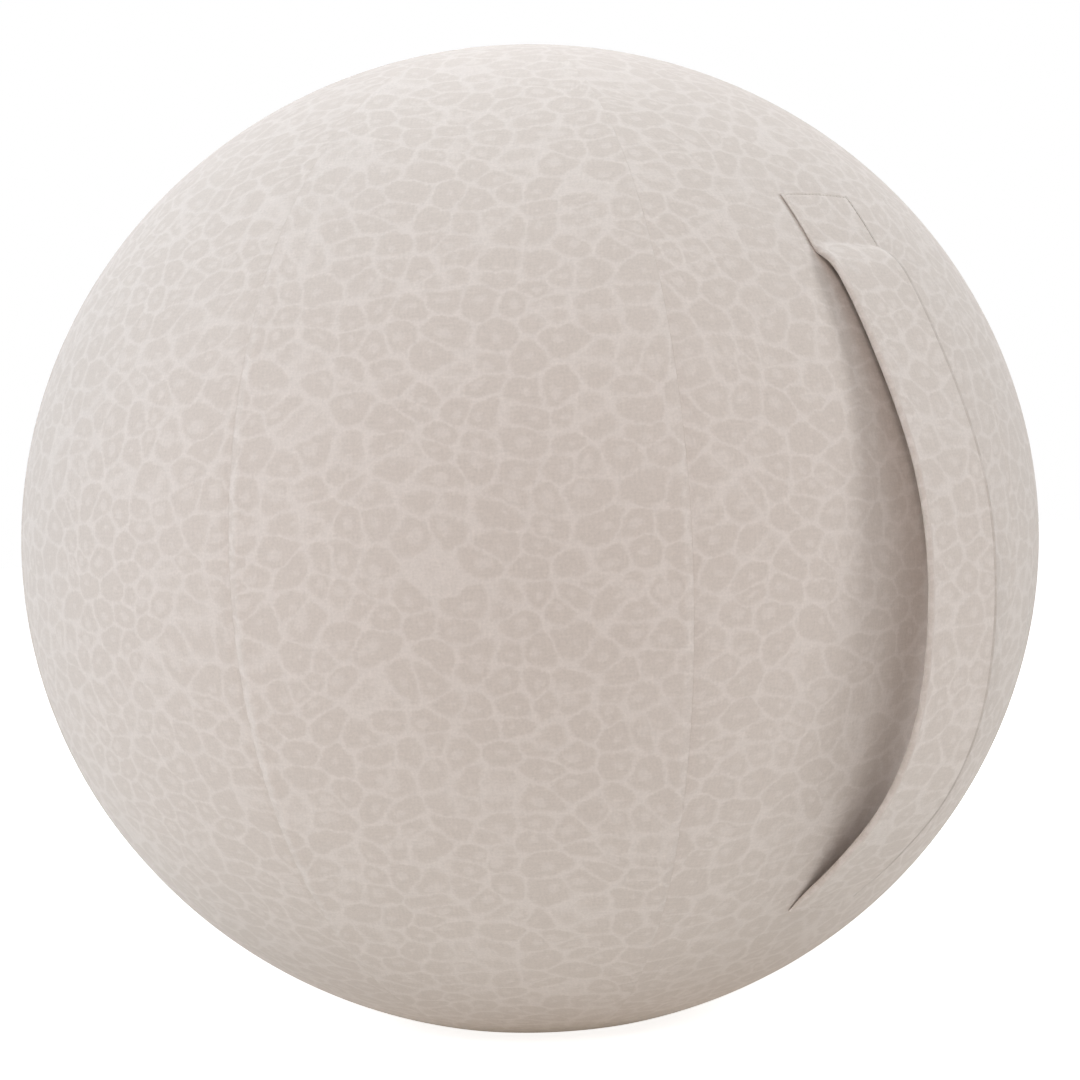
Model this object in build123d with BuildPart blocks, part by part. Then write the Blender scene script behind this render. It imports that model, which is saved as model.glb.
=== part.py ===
from build123d import *
import os
from math import acos, atan2, cos, degrees, radians, sin, sqrt

# Sitting ball: an inflated ball in a sewn cloth cover with a flat base, a carrying strap and a zip.
# Millimetres, +Z up. The origin is the middle of the flat base, on the floor, and +X points through
# the middle of the carrying strap. Angles round the ball are counted from +X, seen from above.

# The ball and its cover
ball_width = 650.0  # across the waist, outside the cover
ball_height = 632.0  # pole to pole, as if the base were not flat
base_radius = 96.0  # edge of the flat base
crown_radius = 44.0  # round panel where the long panels meet at the top
panel_count = 8  # long panels from base to crown
strap_to_seam = 18.1  # degrees from the strap's middle to the next seam round
cover_thickness = 4.0  # face cloth on its foam backing
seam_round = 1.2  # radius with which the cloth rolls into a seam
seam_lip_width = 10.0  # cloth turned in along each seam, at the waist
seam_lip_thickness = 1.2
sewn_gap = 0.15  # between pieces that are sewn edge to edge
layer_gap = 0.3  # between layers that lie on one another

# The base and the air ball inside the cover
base_panel_thickness = 2.5
base_ring_height = 27.0
base_ring_bore = 124.0
base_ring_round = 5.0
air_ball_wall = 1.5
air_ball_spot = 10.0  # radius of the flat moulding spot on top
air_ball_round = 40.0  # where the air ball bears down on the base ring

# The valve under the air ball
valve_bore = 9.2
valve_neck = 14.0
valve_depth = 20.0
valve_flange = 32.0
valve_flange_thickness = 1.5
plug_clearance = 0.1
plug_head = 18.0
plug_head_thickness = 2.5
plug_length = 16.0
plug_tip_taper = 0.8
plug_ribs = 3
plug_rib_depth = 0.4

# The carrying strap: a lining, a webbing core and an outer cloth turned in along both edges
strap_width = 58.0
lining_thickness = 1.4
core_thickness = 1.5
outer_thickness = 1.4
strap_layer_gap = 0.1
hem_width = 1.5
core_inset = 1.0
# height of the strap's inner face over the cover, at angles above the ball's waist: it is sewn down
# before the first point and after the last, and swings between the second and the last but one
strap_rise = [
    (30.5, 0.3),
    (21, 6.3),
    (14, 10.8),
    (6, 17.6),
    (-8, 22),
    (-20, 20.5),
    (-28, 14.5),
    (-34, 7.2),
    (-39, 0.8),
]
upper_tab_angle = 33.8  # middles of the tabs sewn to the cover
upper_tab_length = 48.0
lower_tab_angle = -39.6
lower_tab_length = 29.0
tab_corner = 5.0
backing_margin = 8.0  # patch inside the cover behind each tab
backing_thickness = 0.9

# The zip in the seam on the side away from the strap
zip_seam = 3  # seams counted on from the one beside the strap
zip_low = -50.0  # ends of the zip's slot, as angles about its own arc
zip_high = 22.0
zip_slot_width = 13.2
zip_tape_edge = 14.0  # half the width of the two tapes together
zip_tape_thickness = 0.7
zip_tape_clearance = 0.35
tooth_pitch = 4.0
tooth_reach = 1.1  # how far a tooth passes the middle of the chain
tooth_head_length = 1.0
tooth_shoulder = 2.0  # where a tooth narrows to its neck
tooth_root = 4.0  # half the chain's width
tooth_head_width = 2.2
tooth_neck_width = 1.35
tooth_thickness = 2.6
tooth_grip = 1.2  # how far a tooth's root closes over the tape
tooth_grip_gap = 0.05
stop_length = 3.0
stop_gap = 0.4  # along the chain, between a stop and what meets it

# The zip's slider and its pull
slider_length = 15.0
slider_nose_width = 12.2
slider_tail_width = 11.2
slider_plate = 1.2
slider_clearance = 0.3
slider_flange = 0.9  # height of each turned edge
slider_flange_wall = 1.1
slider_corner = 2.0
wedge_length = 5.0
wedge_width = 2.6
bridge_length = 8.0
bridge_width = 2.4
bridge_bar = 1.1
pull_bar = 1.2
pull_play = 0.35
pull_width = 8.0
pull_length = 27.0
pull_eye_length = 4.4
pull_eye_width = 5.0
pull_corner = 1.5
pull_grip_hole = 3.0

# Worked out from the sizes above
half_width = ball_width / 2
half_height = ball_height / 2
ball_centre = half_height * sqrt(1 - (base_radius / half_width) ** 2)
panel_angle = 360 / panel_count
lip_depth = cover_thickness + seam_lip_thickness
air_ball_depth = lip_depth + layer_gap
base_ring_floor = base_panel_thickness + layer_gap
air_ball_floor = base_ring_floor + base_ring_height + layer_gap
strap_thickness = lining_thickness + core_thickness + outer_thickness + 2 * strap_layer_gap
outer_layer = strap_thickness - outer_thickness
zip_angle = strap_to_seam + zip_seam * panel_angle
zip_depth = cover_thickness / 2


def meridian(angle):
    """Upright plane through the ball's axis: its x runs outwards at the angle and its y runs up."""
    outwards = (cos(radians(angle)), sin(radians(angle)), 0)
    return Plane(origin=(0, 0, 0), x_dir=outwards, z_dir=(outwards[1], -outwards[0], 0))


def surface_point(angle, rise):
    """Point of a meridian at an angle above the waist, a rise away from the cover's outer face."""
    reach = 1 / sqrt((cos(radians(angle)) / half_width) ** 2 + (sin(radians(angle)) / half_height) ** 2)
    foot = Vector(reach * cos(radians(angle)), reach * sin(radians(angle)))
    normal = Vector(foot.X / half_width**2, foot.Y / half_height**2).normalized()
    return foot + normal * rise + Vector(0, ball_centre)


def surface_fall(angle):
    """Direction down the cover along a meridian, at an angle above the waist."""
    step = surface_point(angle - 0.01, 0) - surface_point(angle, 0)
    return step.normalized()


def layer_section(plane, outer_depth, inner_depth, low_radius, high_radius):
    """Section of a layer between two depths under the cover's face, open inside two radii."""
    with BuildSketch(plane) as section:
        with Locations((0, ball_centre)):
            Ellipse(half_width - outer_depth, half_height - outer_depth)
            Ellipse(half_width - inner_depth, half_height - inner_depth, mode=Mode.SUBTRACT)
        for radius, side in ((high_radius, Align.MIN), (low_radius, Align.MAX)):
            with Locations((radius, ball_centre)):
                Rectangle(ball_width + radius, ball_height, align=(Align.MAX, side), mode=Mode.SUBTRACT)
    return section.sketch


def crown_line(depth, radius):
    """Line over the top of the ball at a depth under the cover's face, out to a radius.

    So near the top the ellipse keeps to the circle that fits it there."""
    bend = half_width**2 / half_height
    middle = ball_centre + half_height - bend
    start = degrees(acos(radius / (bend - depth)))
    return CenterArc((0, middle), bend - depth, start, 90 - start)


def arc_band(half_thickness, low_angle, high_angle, aside=0):
    """Stretch of the zip's arc between two angles, thickened in and out, on a plane beside its seam."""
    with BuildSketch(meridian(zip_angle).offset(aside)) as band:
        with BuildLine():
            sweep = high_angle - low_angle
            near = CenterArc(zip_arc.arc_center, zip_radius - half_thickness, low_angle, sweep)
            far = CenterArc(zip_arc.arc_center, zip_radius + half_thickness, low_angle, sweep)
            Line(near @ 0, far @ 0)
            Line(near @ 1, far @ 1)
        make_face()
    return band.sketch


def export(piece, name):
    """Labels a finished piece and writes it under its own name."""
    piece.part.label = name
    export_step(piece.part, f"parts/{name}.step")


os.makedirs("parts", exist_ok=True)

# The zip follows one arc, laid through three points halfway through the cover's thickness
zip_middle = (zip_low + zip_high) / 2
zip_arc = ThreePointArc(*(surface_point(angle, -zip_depth) for angle in (zip_low, zip_middle, zip_high)))
zip_radius = zip_arc.radius
zip_centre = meridian(zip_angle).from_local_coords(Vector(zip_arc.arc_center.X, zip_arc.arc_center.Y, 0))
tooth_step = degrees(tooth_pitch / zip_radius)

# Long panels of the cover, each with its edges rolled into the seams and turned in behind them.
# The two beside the zip are cut back for it, and each is slit to take the edge of its tape.
lip_angle = degrees(seam_lip_width / half_width)
for number in range(panel_count):
    start = strap_to_seam + (number - 1) * panel_angle
    finish = start + panel_angle
    with BuildPart() as cover_panel:
        wall = layer_section(meridian(start), 0, cover_thickness, base_radius, crown_radius)
        revolve(wall, axis=Axis.Z, revolution_arc=panel_angle)
        seams = [
            face.edges().sort_by(SortBy.LENGTH)[-1]
            for face in cover_panel.faces().filter_by(GeomType.PLANE)
        ]
        fillet(seams, radius=seam_round)
        for edge, turn in ((start, lip_angle), (finish, -lip_angle)):
            lip = layer_section(meridian(edge), cover_thickness / 2, lip_depth, base_radius, crown_radius)
            revolve(lip, axis=Axis.Z, revolution_arc=turn)
        if number in (zip_seam, zip_seam + 1):
            slot = arc_band(zip_depth + air_ball_depth, zip_low, zip_high)
            extrude(slot, amount=zip_slot_width / 2, both=True, mode=Mode.SUBTRACT)
            slit = arc_band(zip_tape_thickness / 2 + zip_tape_clearance, zip_low, zip_high)
            extrude(slit, amount=zip_tape_edge + zip_tape_clearance, both=True, mode=Mode.SUBTRACT)
    export(cover_panel, f"cover_panel_{number + 1}")

# Round panel that closes the top of the cover
with BuildPart() as crown_panel:
    with BuildSketch(Plane.XZ) as crown_section:
        with BuildLine():
            rim = crown_radius - sewn_gap
            face_line = crown_line(0, rim)
            back_line = crown_line(cover_thickness, rim)
            Line(face_line @ 0, back_line @ 0)
            Line(face_line @ 1, back_line @ 1)
        make_face()
        fillet(crown_section.vertices().group_by(Axis.X)[-1].sort_by(Axis.Y)[-1], radius=seam_round)
    revolve(axis=Axis.Z)
export(crown_panel, "crown_panel")

# Flat non-slip panel that the ball stands on
with BuildPart() as base_panel:
    with BuildSketch():
        Circle(base_radius - sewn_gap)
    extrude(amount=base_panel_thickness)
export(base_panel, "base_panel")

# Dense ring inside the base: flat below, and shaped to the cover outside
with BuildPart() as base_ring:
    with BuildSketch(Plane.XZ) as ring_section:
        with Locations((0, ball_centre)):
            Ellipse(half_width - air_ball_depth, half_height - air_ball_depth)
        with Locations((base_ring_bore / 2, base_ring_floor)):
            Rectangle(ball_width, base_ring_height, align=Align.MIN, mode=Mode.INTERSECT)
        fillet(ring_section.vertices().group_by(Axis.X)[0], radius=base_ring_round)
    revolve(axis=Axis.Z)
export(base_ring, "base_ring")


def air_section(wall):
    """Half section of the air ball, a wall's thickness inside its outer face, flat on the base ring."""
    depth = air_ball_depth + wall
    floor = air_ball_floor + wall
    spot_height = (half_height - depth) * sqrt(1 - (air_ball_spot / (half_width - depth)) ** 2)
    with BuildSketch(Plane.XZ) as section:
        with Locations((0, ball_centre)):
            Ellipse(half_width - depth, half_height - depth)
        with Locations((0, floor)):
            Rectangle(ball_width, ball_centre + spot_height - floor, align=Align.MIN, mode=Mode.INTERSECT)
        fillet(section.vertices().group_by(Axis.Y)[0].sort_by(Axis.X)[-1], radius=air_ball_round - wall)
    return section.sketch


# Air ball: an even wall that follows the cover, lies flat on the base ring and is open at its valve
with BuildPart() as air_ball:
    revolve(air_section(0), axis=Axis.Z)
    revolve(air_section(air_ball_wall), axis=Axis.Z, mode=Mode.SUBTRACT)
    with BuildSketch(Plane.XY.offset(air_ball_floor)):
        Circle(valve_neck / 2 + sewn_gap)
    extrude(amount=air_ball_wall, mode=Mode.SUBTRACT)
export(air_ball, "air_ball")

# Valve seat: a flange welded inside the air ball's wall, with a neck that holds the plug
flange_floor = air_ball_floor + air_ball_wall + sewn_gap
with BuildPart() as valve_seat:
    with BuildSketch(Plane.XY.offset(air_ball_floor)):
        Circle(valve_neck / 2)
    extrude(amount=valve_depth)
    with BuildSketch(Plane.XY.offset(flange_floor)):
        Circle(valve_flange / 2)
    extrude(amount=valve_flange_thickness)
    with BuildSketch(Plane.XY.offset(air_ball_floor)):
        Circle(valve_bore / 2)
    extrude(amount=valve_depth, mode=Mode.SUBTRACT)
export(valve_seat, "valve_seat")

# Plug: a ribbed stem that tapers to its tip, with a flat head to grip
plug_radius = valve_bore / 2 - plug_clearance
rib_pitch = plug_length / (plug_ribs + 1)
with BuildPart() as valve_plug:
    with BuildSketch(Plane.XY.offset(air_ball_floor - layer_gap)):
        Circle(plug_head / 2)
    extrude(amount=-plug_head_thickness)
    fillet(valve_plug.edges(), radius=plug_head_thickness / 4)
    with BuildSketch(Plane.XY.offset(air_ball_floor - layer_gap)):
        Circle(plug_radius - plug_rib_depth)
    extrude(amount=plug_length)
    chamfer(valve_plug.edges().group_by(Axis.Z)[-1], length=plug_tip_taper)
    for rib in range(plug_ribs):
        with BuildSketch(Plane.XY.offset(air_ball_floor + (rib + 0.5) * rib_pitch)):
            Circle(plug_radius)
        extrude(amount=rib_pitch / 2)
export(valve_plug, "valve_plug")


def strap_line(layer):
    """Curve of the strap seen from its edge, a layer's thickness out from its inner face."""
    points = [surface_point(angle, rise + layer) for angle, rise in strap_rise]
    ends = [surface_fall(strap_rise[0][0]), surface_fall(strap_rise[-1][0])]
    return Spline(*points, tangents=ends)


def strap_section(inner_layer, outer_layer):
    """Section of the whole strap between two of its layers."""
    with BuildSketch(Plane.XZ) as section:
        with BuildLine():
            near = strap_line(inner_layer)
            far = strap_line(outer_layer)
            Line(near @ 0, far @ 0)
            Line(near @ 1, far @ 1)
        make_face()
    return section.sketch


def swing_zone(length):
    """Strip square to the line that the strap swings about, as long as its free span."""
    with BuildSketch(Plane.XZ) as zone:
        with Locations(Location((swing_middle.X, swing_middle.Y, 0), (0, 0, swing_lean))):
            Rectangle(half_width, length)
    return zone.sketch


def free_span(inner_layer, outer_layer, aside=0):
    """Section of the strap's free span between two of its layers, on a plane beside its middle."""
    with BuildSketch(Plane.XZ) as span:
        add(strap_section(inner_layer, outer_layer))
        add(swing_zone(swing_length - layer_gap), mode=Mode.INTERSECT)
    return span.sketch.moved(Location((0, aside, 0)))


# The free span swings about the line between the two places where it leaves its sewn ends
swing_top, swing_bottom = (
    surface_point(angle, rise + strap_thickness / 2) for angle, rise in (strap_rise[1], strap_rise[-2])
)
swing_line = swing_top - swing_bottom
swing_length = swing_line.length
swing_middle = (swing_top + swing_bottom) / 2
swing_lean = degrees(atan2(-swing_line.X, swing_line.Y))
print("strap swings about", swing_middle, "along", swing_line.normalized())

# Outer cloth of the strap, with its long edges turned in round the layers below
with BuildPart() as handle_outer:
    extrude(free_span(outer_layer, strap_thickness), amount=strap_width / 2, both=True)
    for side in (-1, 1):
        hem = free_span(0, strap_thickness, side * (strap_width - hem_width) / 2)
        extrude(hem, amount=hem_width / 2, both=True)
export(handle_outer, "handle_outer")

# Webbing that carries the load, and the lining that lies against the hand
lining_width = strap_width - 2 * (hem_width + strap_layer_gap)
with BuildPart() as handle_core:
    webbing = free_span(lining_thickness + strap_layer_gap, outer_layer - strap_layer_gap)
    extrude(webbing, amount=lining_width / 2 - core_inset, both=True)
export(handle_core, "handle_core")

with BuildPart() as handle_lining:
    extrude(free_span(0, lining_thickness), amount=lining_width / 2, both=True)
export(handle_lining, "handle_lining")


def sewn_patch(angle, length, width, outer_depth, inner_depth):
    """Patch with rounded corners that follows the cover, between two depths under its face."""
    middle = surface_point(angle, 0)
    fall = surface_fall(angle)
    flat = Plane(origin=(middle.X, 0, middle.Y), x_dir=(0, 1, 0), z_dir=(-fall.Y, 0, fall.X))
    spread = degrees(width / half_width)
    with BuildPart() as patch:
        with BuildSketch(flat):
            RectangleRounded(width, length, tab_corner)
        extrude(amount=length / 2, both=True)
        layer = layer_section(meridian(-spread), outer_depth, inner_depth, 0, 0)
        revolve(layer, axis=Axis.Z, revolution_arc=2 * spread, mode=Mode.INTERSECT)
    return patch.part


# The strap's ends: each runs from the free span down onto the cover and is sewn there as a tab,
# with a patch behind it inside the cover that takes the pull of the stitches
for name, angle, length, side in (
    ("upper", upper_tab_angle, upper_tab_length, Align.MIN),
    ("lower", lower_tab_angle, lower_tab_length, Align.MAX),
):
    with BuildPart() as handle_end:
        with BuildSketch(Plane.XZ):
            add(strap_section(0, strap_thickness))
            add(swing_zone(swing_length + layer_gap), mode=Mode.SUBTRACT)
            with Locations((half_width, ball_centre)):
                Rectangle(ball_width, ball_height, align=(Align.CENTER, side), mode=Mode.INTERSECT)
        extrude(amount=strap_width / 2, both=True)
        add(sewn_patch(angle, length, strap_width, -layer_gap - strap_thickness, -layer_gap))
    export(handle_end, f"handle_end_{name}")
    with BuildPart() as handle_backing:
        backing_depth = cover_thickness + sewn_gap
        add(
            sewn_patch(
                angle,
                length + 2 * backing_margin,
                strap_width + 2 * backing_margin,
                backing_depth,
                backing_depth + backing_thickness,
            )
        )
    export(handle_backing, f"handle_backing_{name}")

# Zip tapes, one each side of the chain, each with its outer edge slipped into the slit in its panel
tape_end = degrees(layer_gap / zip_radius)
tape_inner = tooth_root - tooth_grip
for name, side in (("left", 1), ("right", -1)):
    with BuildPart() as zip_tape:
        tape = arc_band(zip_tape_thickness / 2, zip_low + tape_end, zip_high - tape_end, side * tape_inner)
        extrude(tape, amount=side * (zip_tape_edge - tape_inner))
    export(zip_tape, f"zip_tape_{name}")

# One tooth, standing on the chain's middle line: a root that grips the tape, a neck and a wider head
grip_slot = zip_tape_thickness + 2 * tooth_grip_gap
with BuildPart() as tooth:
    with BuildSketch(Plane.YZ):
        half_outline = [
            (tooth_head_width / 2, tooth_root),
            (tooth_head_width / 2, tooth_shoulder),
            (tooth_neck_width / 2, tooth_reach),
            (tooth_neck_width / 2, tooth_reach - tooth_head_length),
            (tooth_head_width / 2, tooth_head_length / 2 - tooth_reach),
            (tooth_neck_width / 2, -tooth_reach),
        ]
        Polygon(*half_outline, *((-across, along) for across, along in reversed(half_outline)), align=None)
    extrude(amount=tooth_thickness / 2, both=True)
    with BuildSketch(Plane.XY.offset(tooth_root)):
        Rectangle(grip_slot, tooth_head_width)
    extrude(amount=-tooth_grip, mode=Mode.SUBTRACT)
facing_tooth = mirror(tooth.part, about=Plane.XY)

# Two rows of teeth that close on each other, from the parked slider up to the stop at the far end
stop_angle = degrees(stop_length / zip_radius)
gap_angle = degrees(stop_gap / zip_radius)
slider_angle = degrees(slider_length / zip_radius)
slider_park = zip_low + tape_end + stop_angle + gap_angle + slider_angle / 2
far_stop = zip_high - tape_end - stop_angle
tooth_count = int((far_stop - gap_angle - slider_park) / tooth_step)
zip_plane = Plane(origin=zip_centre, x_dir=meridian(zip_angle).x_dir, z_dir=meridian(zip_angle).z_dir)
for name, shape, shift in (("left", tooth.part, 0), ("right", facing_tooth, tooth_step / 2)):
    with BuildPart(zip_plane) as zip_teeth:
        with PolarLocations(zip_radius, tooth_count, slider_park + shift, tooth_count * tooth_step):
            add(shape)
    export(zip_teeth, f"zip_teeth_{name}")

# Stops: two at the parked slider's nose, one on each tape, and one across both at the far end
with BuildPart() as zip_closed_stops:
    low = zip_low + tape_end
    for side in (-1, 1):
        block = arc_band(tooth_thickness / 2, low, low + stop_angle, side * tooth_reach)
        extrude(block, amount=side * (tooth_root - tooth_reach))
        grip = arc_band(grip_slot / 2, low, low + stop_angle, side * tape_inner)
        extrude(grip, amount=side * tooth_grip, mode=Mode.SUBTRACT)
export(zip_closed_stops, "zip_closed_stops")

with BuildPart() as zip_open_stop:
    extrude(arc_band(tooth_thickness / 2, far_stop, far_stop + stop_angle), amount=tooth_root, both=True)
    for side in (-1, 1):
        grip = arc_band(grip_slot / 2, far_stop, far_stop + stop_angle, side * tape_inner)
        extrude(grip, amount=side * tooth_grip, mode=Mode.SUBTRACT)
export(zip_open_stop, "zip_open_stop")

# Slider: two plates joined by a wedge at the nose, with turned edges that guide the teeth, and a
# bridge on top for the pull. Its plane has x towards the nose and z out of the ball.
outwards = zip_plane.x_dir
park = radians(slider_park)
slider_normal = outwards * cos(park) + Vector(0, 0, sin(park))
slider_nose = outwards * sin(park) - Vector(0, 0, cos(park))
slider_plane = Plane(origin=zip_centre + slider_normal * zip_radius, x_dir=slider_nose, z_dir=slider_normal)
channel = tooth_thickness + 2 * slider_clearance
slider_top = channel / 2 + slider_plate


def slider_outline(inset):
    """The slider's plan, wider at its nose, drawn in by an inset along both sides."""
    tail, nose = (width / 2 - inset for width in (slider_tail_width, slider_nose_width))
    half = slider_length / 2
    corners = ((-half, -tail), (half, -nose), (half, nose), (-half, tail))
    return Polygon(*corners, align=None, mode=Mode.PRIVATE)


with BuildPart() as zip_slider:
    for side in (-1, 1):
        plate = slider_plane.offset(side * channel / 2)
        with BuildSketch(plate) as plan:
            add(slider_outline(0))
            fillet(plan.vertices(), radius=slider_corner)
        extrude(amount=side * slider_plate)
        with BuildSketch(plate):
            add(plan.sketch_local)
            add(slider_outline(slider_flange_wall), mode=Mode.SUBTRACT)
        extrude(amount=-side * slider_flange)
    with BuildSketch(slider_plane.offset(-channel / 2)):
        nose = slider_length / 2
        Polygon((nose - wedge_length, 0), (nose, -wedge_width / 2), (nose, wedge_width / 2), align=None)
    extrude(amount=channel)
    with BuildSketch(Plane(slider_plane.origin, slider_nose, -slider_plane.y_dir)) as bridge:
        bridge_opening = pull_bar + 2 * pull_play
        with Locations((0, slider_top)):
            Rectangle(bridge_length, bridge_opening + bridge_bar, align=(Align.CENTER, Align.MIN))
        fillet(bridge.vertices().group_by(Axis.Y)[-1], radius=bridge_bar)
        with Locations((0, slider_top)):
            Rectangle(
                bridge_length - 2 * bridge_bar,
                bridge_opening,
                align=(Align.CENTER, Align.MIN),
                mode=Mode.SUBTRACT,
            )
    extrude(amount=bridge_width / 2, both=True)
export(zip_slider, "zip_slider")

# Pull: a flat tab that hangs straight down from its bar under the slider's bridge
pull_pivot = slider_plane.origin + slider_normal * (slider_top + pull_play + pull_bar / 2)
with BuildPart() as zip_pull:
    with BuildSketch(Plane(pull_pivot, (0, 0, -1), outwards)) as tab:
        with Locations((-pull_bar / 2, 0)):
            RectangleRounded(pull_length, pull_width, pull_corner, align=(Align.MIN, Align.CENTER))
        with Locations((pull_bar / 2, 0)):
            Rectangle(pull_eye_length, pull_eye_width, align=(Align.MIN, Align.CENTER), mode=Mode.SUBTRACT)
        with Locations((pull_length - pull_width / 2, 0)):
            Circle(pull_grip_hole / 2, mode=Mode.SUBTRACT)
    extrude(amount=pull_bar / 2, both=True)
export(zip_pull, "zip_pull")

print("zip turns about", zip_centre, "along", zip_plane.z_dir, "radius", zip_radius, "teeth", tooth_count)
print("slider parks at", slider_park, "and runs", far_stop - gap_angle - slider_angle / 2 - slider_park)
print("pull hinges at", pull_pivot, "along", -slider_plane.y_dir)
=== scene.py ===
from math import asin, cos, pi, radians, sin, sqrt

import bmesh
import bpy
import numpy as np
from mathutils import Matrix, Vector


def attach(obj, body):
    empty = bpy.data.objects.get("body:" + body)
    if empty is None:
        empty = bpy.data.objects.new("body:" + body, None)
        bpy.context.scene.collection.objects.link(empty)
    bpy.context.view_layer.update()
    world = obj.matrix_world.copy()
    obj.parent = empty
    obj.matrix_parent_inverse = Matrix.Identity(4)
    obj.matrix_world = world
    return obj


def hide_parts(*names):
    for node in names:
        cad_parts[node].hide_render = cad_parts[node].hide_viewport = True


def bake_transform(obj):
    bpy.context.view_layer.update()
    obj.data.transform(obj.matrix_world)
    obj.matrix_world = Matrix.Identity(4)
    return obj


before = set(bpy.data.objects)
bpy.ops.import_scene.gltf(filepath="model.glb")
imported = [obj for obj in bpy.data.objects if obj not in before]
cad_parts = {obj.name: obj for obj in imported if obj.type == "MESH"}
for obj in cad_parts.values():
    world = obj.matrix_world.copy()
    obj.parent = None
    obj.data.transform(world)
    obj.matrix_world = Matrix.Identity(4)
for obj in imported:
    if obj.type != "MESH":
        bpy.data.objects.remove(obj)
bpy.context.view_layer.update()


# The air ball: a soft vinyl ball, blown up inside the cover until the cloth is tight.
# Its valve seat is welded into the wall underneath, and a ribbed plug closes it.
class Shade:
    """A socket of a material's node tree. Arithmetic with other sockets or numbers adds Math nodes."""

    def __init__(self, tree, socket=None):
        self.tree = tree
        self.socket = socket

    def node(self, kind, sockets, output=0, **settings):
        """Adds a node of a kind, with its settings first and then its sockets' values or links."""
        made = self.tree.nodes.new("ShaderNode" + kind)
        for name, value in settings.items():
            setattr(made, name, value)
        for name, value in sockets.items():
            if isinstance(value, Shade):
                self.tree.links.new(value.socket, made.inputs[name])
            else:
                made.inputs[name].default_value = value
        return Shade(self.tree, made.outputs[output])

    def math(self, operation, *values):
        return self.node("Math", dict(enumerate(values)), operation=operation)

    def __add__(self, other):
        return self.math("ADD", self, other)

    def __sub__(self, other):
        return self.math("SUBTRACT", self, other)

    def __mul__(self, other):
        return self.math("MULTIPLY", self, other)

    def __truediv__(self, other):
        return self.math("DIVIDE", self, other)

    def __radd__(self, other):
        return self.math("ADD", other, self)

    def __rsub__(self, other):
        return self.math("SUBTRACT", other, self)

    def __rmul__(self, other):
        return self.math("MULTIPLY", other, self)

    def step(self, low, high):
        """Rises smoothly from 0 where the value is low to 1 where it is high."""
        spread = {"Value": self, "From Min": low, "From Max": high}
        return self.node("MapRange", spread, interpolation_type="SMOOTHSTEP")

    def between(self, first, second):
        """Colour that goes from the first to the second as the value goes from 0 to 1.

        A Mix node numbers its colour sockets 6 and 7, and its colour output 2."""
        return self.node("Mix", {0: self, 6: first, 7: second}, output=2, data_type="RGBA")

    def stretched(self, across, along):
        """The place it stands for, scaled across and along."""
        scale = (across, along, 1)
        return self.node("VectorMath", {0: self, 1: scale}, operation="MULTIPLY")

    def noise(self, scale, detail=2.0, roughness=0.5):
        sockets = {"Vector": self, "Scale": scale, "Detail": detail, "Roughness": roughness}
        return self.node("TexNoise", sockets)


def new_finish(name, **constants):
    """A material with a principled shader whose plain values are set, and its shader and node tree."""
    finish = bpy.data.materials.new(name)
    finish.use_nodes = True
    shader = finish.node_tree.nodes["Principled BSDF"]
    for socket, value in constants.items():
        shader.inputs[socket.replace("_", " ")].default_value = value
    return finish, shader, Shade(finish.node_tree)


def feed(shader, **links):
    """Links shaded values to the shader's sockets of those names."""
    for socket, value in links.items():
        value.tree.links.new(value.socket, shader.inputs[socket.replace("_", " ")])


def paint(finish, *nodes):
    """Gives CAD nodes a finish."""
    for node in nodes:
        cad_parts[node].data.materials.clear()
        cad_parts[node].data.materials.append(finish)


def moulded(name, dark, light, roughness, grain):
    """Moulded plastic or rubber: slightly cloudy colour, and a fine grain of so many grains to a metre."""
    finish, shader, shade = new_finish(name)
    place = shade.node("TexCoord", {}, output="Object")
    cloud = place.noise(18, 3)
    fine = place.noise(grain, 2)
    feed(
        shader,
        Base_Color=cloud.step(0.3, 0.7).between(dark, light),
        Roughness=roughness + 0.12 * fine,
        Normal=shade.node("Bump", {"Strength": 0.25, "Distance": 0.0003, "Height": fine}),
    )
    return finish


vinyl = moulded("air_ball_vinyl", (0.36, 0.37, 0.38, 1), (0.42, 0.43, 0.44, 1), 0.38, 900)
valve_plastic = moulded("valve_plastic", (0.66, 0.66, 0.63, 1), (0.74, 0.74, 0.71, 1), 0.42, 1400)
paint(vinyl, "air_ball")
paint(valve_plastic, "valve_seat", "valve_plug")

# The base ring: a dense foam rubber ring under the air ball, which keeps the base flat and low.
# It lies loose in the bottom of the cover and is shaped to it outside.
foam_rubber = moulded("base_foam_rubber", (0.05, 0.05, 0.05, 1), (0.09, 0.09, 0.088, 1), 0.8, 500)
paint(foam_rubber, "base_ring")


# The printed cloth: a woven upholstery cloth in greige with a tone on tone animal print of closed
# rings, most with a paler heart. It is backed with foam and cut so that the print never meets at seams.
def tint(red, green, blue):
    """Colour from the 0 to 255 values in which it is seen on a screen."""
    seen = np.array((red, green, blue)) / 255
    return (*np.where(seen < 0.04045, seen / 12.92, ((seen + 0.055) / 1.055) ** 2.4), 1.0)


ground = tint(208, 200, 194)
spot = tint(199, 190, 183)
spot_pitch = 0.0172
thread = 0.0009


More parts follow.
